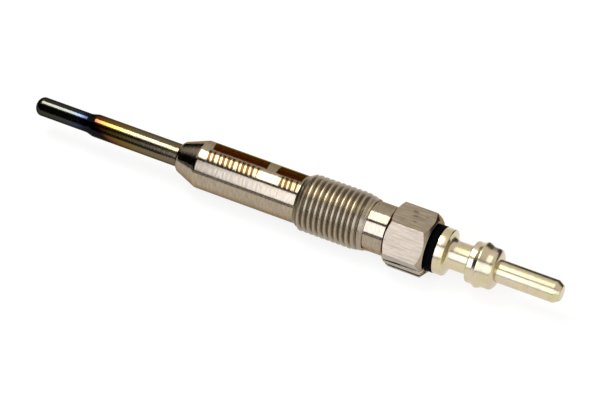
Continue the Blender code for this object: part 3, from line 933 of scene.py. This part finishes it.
def rolled_thread():
    """Plated thread that is darker towards its roots, with fine marks along its turns."""
    finish = Finish("rolled_thread", 0.3, 1.0)
    paint = colours()
    steel = tuple(paint.steel)
    root = (sizes().thread_radius - thread_depth()) * PER_METRE
    end = shell_places()["neck"] * PER_METRE
    run_out = finish.ease(finish.along, end - 1.5, end - 0.5)
    height = finish.maths("MAXIMUM", finish.ease(finish.radius(), root, root + 0.30), run_out)
    marks = finish.noise(5.0, TURNED, detail=4.0, roughness=0.6)
    grit = finish.noise(4.5, (0.7, 1.0, 1.0), detail=4.0, roughness=0.7)
    # The colour darkens towards the thread's roots, except along the run-out.
    towards_crest = finish.maths("MINIMUM", height * (0.6 + finish.ease(grit, 0.38, 0.6) * 0.55), 1.0)
    finish.colour(finish.blend(towards_crest, tuple(paint.thread_root_colour), steel))
    finish.roughness(0.25 + grit * 0.18)
    finish.bump(marks + grit * 1.5, 0.016)
    return finish.material


def drawn_hexagon():
    """Flats of drawn bar with wavy grain along the axis and a few small stains."""
    finish = Finish("drawn_hexagon", 0.3, 1.0)
    steel = tuple(colours().steel)
    grain = finish.noise(3.6, (0.09, 1.0, 1.0), detail=3.0, roughness=0.6)
    specks = finish.ease(finish.noise(1.7, (0.8, 1.0, 1.0), detail=3.0, roughness=0.6), 0.60, 0.72)
    cloud = finish.noise(0.6, detail=2.0)
    shade = finish.ease(grain, 0.34, 0.66) * 0.75 + cloud * 0.25
    streaked = finish.blend(shade, tuple(c * 0.72 for c in steel), tuple(c * 1.2 for c in steel))
    bright = finish.blend(specks * 0.45, streaked, tuple(c * 0.45 for c in steel))
    stains = 0.0
    for along, across, size in STAINS:
        off = ((finish.along - along) * 0.6) ** 2.0 + (finish.across - across) ** 2.0
        stains = (1 - finish.ease(off ** 0.5, size * 0.4, size)) + stains
    on_top = finish.ease(finish.up, 4.9, 4.95)
    finish.colour(finish.blend(stains * on_top * 0.6, bright, tuple(c * 0.3 for c in steel)))
    finish.roughness(0.24 + grain * 0.16)
    finish.bump(grain, 0.02)
    return finish.material


def moulded_plastic():
    """Black moulding with a fine matt grain."""
    finish = Finish("moulded_plastic", 0.6)
    finish.shader.inputs["Specular IOR Level"].default_value = 0.01
    plastic = tuple(colours().plastic)
    grain = finish.noise(9.0, detail=3.0)
    finish.colour(finish.blend(grain, plastic, tuple(c * 1.8 for c in plastic)))
    finish.roughness(0.5 + grain * 0.25)
    finish.bump(grain, 0.01)
    return finish.material


def tinned_terminal():
    """Bright tin with soft straw and rose tints and fine turning marks."""
    finish = Finish("tinned_terminal", 0.35, 1.0)
    tin = tuple(colours().tin)
    cloud = finish.noise(0.55, (1.0, 0.7, 0.7), detail=2.0)
    marks = finish.noise(5.0, TURNED, detail=3.0, roughness=0.6)
    straw = (tin[0], tin[1], tin[2] * 0.84)
    rose = (tin[0], tin[1] * 0.95, tin[2] * 1.02)
    patches = finish.ease(finish.noise(1.3, (1.0, 0.5, 0.5), detail=3.0), 0.45, 0.65)
    clear = finish.blend(finish.ease(cloud, 0.35, 0.65), straw, rose)
    finish.colour(finish.blend(patches * 0.35, clear, (tin[0] * 0.78, tin[1] * 0.82, tin[2] * 0.72)))
    finish.roughness(0.18 + marks * 0.12)
    finish.bump(marks, 0.006)
    return finish.material


def drawn_wire(name, colour):
    """Resistance wire with drawing marks and a faint oxide."""
    finish = Finish(name, 0.4, 1.0)
    grain = finish.noise(4.0, detail=3.0)
    finish.colour(finish.blend(grain, tuple(c * 0.7 for c in colour), colour))
    finish.roughness(0.3 + grain * 0.25)
    finish.bump(grain, 0.005)
    return finish.material


def packed_powder():
    """Pale pressed powder."""
    finish = Finish("packed_powder", 0.9)
    grain = finish.noise(12.0, detail=4.0)
    finish.colour(finish.blend(grain, (0.72, 0.70, 0.65), (0.88, 0.87, 0.83)))
    finish.bump(grain, 0.03)
    return finish.material


def rubber(name, colour):
    """Soft dark rubber with a dusty bloom."""
    finish = Finish(name, 0.7)
    bloom = finish.noise(3.0, detail=3.0)
    finish.colour(finish.blend(bloom, colour, tuple(c * 1.5 + 0.01 for c in colour)))
    finish.roughness(0.6 + bloom * 0.2)
    return finish.material


class GLOWPLUG_OT_inner_parts(bpy.types.Operator):
    """Give the parts inside the plug, which keep their solids' shape, their finishes"""

    bl_idname = "glow_plug.inner_parts"
    bl_label = "Inner Parts"

    def execute(self, context):
        finishes = {
            "heating_coil": drawn_wire("heating_wire", (0.45, 0.43, 0.40)),
            "control_coil": drawn_wire("control_wire", (0.55, 0.52, 0.47)),
            "insulating_powder": packed_powder(),
            "tube_seal": rubber("seal_rubber", (0.12, 0.10, 0.09)),
            "connecting_pin": drawn_wire("pin_steel", (0.60, 0.58, 0.55)),
            "o_ring": rubber("ring_rubber", (0.03, 0.03, 0.03)),
        }
        for name, finish in finishes.items():
            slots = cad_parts[name].data.materials
            slots.clear()
            slots.append(finish)
        return {"FINISHED"}


# The stage

def pale_floor_material():
    """Pale floor that glows white in part, for the camera and reflections, and keeps the shadow."""
    material = bpy.data.materials.new("pale_floor")
    material.use_nodes = True
    bench = Bench(material.node_tree)
    material.node_tree.nodes.remove(material.node_tree.nodes["Principled BSDF"])
    output = material.node_tree.nodes["Material Output"]
    seen = bench.node("ShaderNodeLightPath", output="Is Camera Ray")
    mirrored = bench.node("ShaderNodeLightPath", output="Is Glossy Ray")
    through = bench.node("ShaderNodeLightPath", output="Is Transmission Ray")
    matt = bench.node("ShaderNodeBsdfDiffuse", None, {"Color": (0.86, 0.84, 0.80)})
    glow = bench.node("ShaderNodeEmission", None, {"Color": (1.0, 1.0, 1.0), "Strength": 1.0})
    share = bench.maths("MINIMUM", seen + mirrored + through, 1.0) * FLOOR_GLOW
    surface = bench.node("ShaderNodeMixShader", None, {0: share, 1: matt, 2: glow})
    bench.feed(output.inputs["Surface"], surface)
    return material


def cloth(name, shade):
    """Matt dark fabric of one of the studio's cloths or screens."""
    material = bpy.data.materials.new(name)
    material.use_nodes = True
    shader = material.node_tree.nodes["Principled BSDF"]
    shader.inputs["Base Color"].default_value = (shade, shade, shade, 1.0)
    shader.inputs["Specular IOR Level"].default_value = 0.0
    return material


def along_plug(angle, distance, spread, ends):
    """Centre, turn, length and width of a lamp or cloth that runs along the plug and faces it."""
    lift = radians(angle)
    centre = Vector((sum(ends) / 2, -cos(lift) * distance, sin(lift) * distance + AXIS_HEIGHT))
    return centre, (pi / 2 - lift, 0.0, 0.0), ends[1] - ends[0], 2 * distance * tan(radians(spread))


def add_lamp(name, level, **place):
    """Add a soft lamp of a given radiance along the plug."""
    centre, turn, length, width = along_plug(**place)
    bpy.ops.object.light_add(type="AREA", location=centre, rotation=turn)
    lamp = bpy.context.object
    lamp.name = name
    lamp.data.shape = "RECTANGLE"
    lamp.data.size = length
    lamp.data.size_y = width
    lamp.data.energy = WATTS_PER_RADIANCE * level * length * width
    lamp.data.color = PANEL_LIGHT if "panel" in name else LAMP_LIGHT
    lamp.visible_camera = False


def add_screen(name, centre, turn, length, width, shade):
    """Add a dark screen that only reflections show."""
    bpy.ops.mesh.primitive_plane_add(size=1.0, location=centre, rotation=turn)
    screen = bpy.context.object
    screen.name = name
    screen.scale = (length, width, 1.0)
    screen.data.materials.append(cloth(name, shade))
    screen.visible_camera = False
    screen.visible_diffuse = False
    screen.visible_shadow = False


def add_camera():
    """Look at the plug from its front side, with its terminal end nearer and its axis tilted."""
    front = Vector((0.0, -cos(CAMERA_HEIGHT_ANGLE), sin(CAMERA_HEIGHT_ANGLE)))
    axis = Vector((1.0, 0.0, 0.0))
    back = front * cos(END_TOWARDS_CAMERA) + axis * sin(END_TOWARDS_CAMERA)
    level = axis * cos(END_TOWARDS_CAMERA) - front * sin(END_TOWARDS_CAMERA)
    below = level.cross(back)
    right = level * cos(AXIS_TILT) - below * sin(AXIS_TILT)
    above = back.cross(right)
    aim = Vector((AIM_ALONG, 0.0, AXIS_HEIGHT)) - above * (CAMERA_DISTANCE * POINTS_BELOW_AIM / FOCAL_POINTS)
    bpy.ops.object.camera_add()
    camera = bpy.context.object
    camera.name = "camera"
    camera.data.sensor_width = SENSOR_WIDTH
    camera.data.lens = FOCAL_POINTS * SENSOR_WIDTH / PICTURE_WIDTH
    camera.data.clip_start = CAMERA_DISTANCE / 10
    camera.data.clip_end = 2 * FLOOR_SIZE
    camera.matrix_world = Matrix.Translation(aim + back * CAMERA_DISTANCE) @ Matrix(
        (right, above, back)).transposed().to_4x4()
    bpy.context.scene.camera = camera


def light_room():
    """Fill the room with plain pale light."""
    world = bpy.data.worlds.new("studio")
    bpy.context.scene.world = world
    world.use_nodes = True
    background = world.node_tree.nodes["Background"]
    background.inputs["Color"].default_value = (1.0, 0.97, 0.93, 1.0)
    background.inputs["Strength"].default_value = WORLD_STRENGTH


class GLOWPLUG_OT_stage(bpy.types.Operator):
    """Set up the pale floor, the soft lamps, the dark cloths and screens, the room and the camera"""

    bl_idname = "glow_plug.stage"
    bl_label = "Stage"

    def execute(self, context):
        bpy.ops.object.select_all(action="DESELECT")
        bpy.ops.mesh.primitive_plane_add(size=FLOOR_SIZE)
        floor = bpy.context.object
        floor.name = "floor"
        floor.data.materials.append(pale_floor_material())
        for name, lamp in LAMPS.items():
            add_lamp(name, **lamp)
        for name, place in CLOTHS.items():
            add_screen(name, *along_plug(**place), CLOTH_SHADE)
        for name, screen in SCREENS.items():
            centre = (*screen["foot"], screen["height"] / 2)
            turn = (pi / 2, 0.0, radians(screen["facing"]) + pi / 2)
            add_screen(name, centre, turn, screen["width"], screen["height"], screen["shade"])
        light_room()
        add_camera()
        bpy.context.scene.view_settings.view_transform = "Standard"
        return {"FINISHED"}


class GLOWPLUG_PT_panel(bpy.types.Panel):
    """Lists the steps that build the glow plug, and its sizes and colours"""

    bl_label = "Glow Plug"
    bl_idname = "GLOWPLUG_PT_panel"
    bl_space_type = "VIEW_3D"
    bl_region_type = "UI"
    bl_category = "Glow Plug"

    def draw(self, context):
        for operator in OPERATORS:
            self.layout.operator(operator.bl_idname)
        for group in (context.scene.glow_plug_sizes, context.scene.glow_plug_colours):
            for name in group.__annotations__:
                self.layout.prop(group, name)


GROUPS = (PlugSizes, PlugColours)
OPERATORS = (
    GLOWPLUG_OT_glow_tube,
    GLOWPLUG_OT_shell,
    GLOWPLUG_OT_washer,
    GLOWPLUG_OT_terminal,
    GLOWPLUG_OT_inner_parts,
    GLOWPLUG_OT_stage,
)


def register():
    """Register the classes and attach the sizes and colours to the scene."""
    for item in (*GROUPS, *OPERATORS, GLOWPLUG_PT_panel):
        bpy.utils.register_class(item)
    bpy.types.Scene.glow_plug_sizes = PointerProperty(type=PlugSizes)
    bpy.types.Scene.glow_plug_colours = PointerProperty(type=PlugColours)


def unregister():
    """Detach the sizes and colours and remove the classes."""
    del bpy.types.Scene.glow_plug_colours
    del bpy.types.Scene.glow_plug_sizes
    for item in (GLOWPLUG_PT_panel, *reversed(OPERATORS), *reversed(GROUPS)):
        bpy.utils.unregister_class(item)


def main():
    """Build the plug and its stage."""
    register()
    bpy.ops.glow_plug.glow_tube()
    bpy.ops.glow_plug.shell()
    bpy.ops.glow_plug.washer()
    bpy.ops.glow_plug.terminal()
    bpy.ops.glow_plug.inner_parts()
    bpy.ops.glow_plug.stage()


if __name__ == "__main__":
    main()
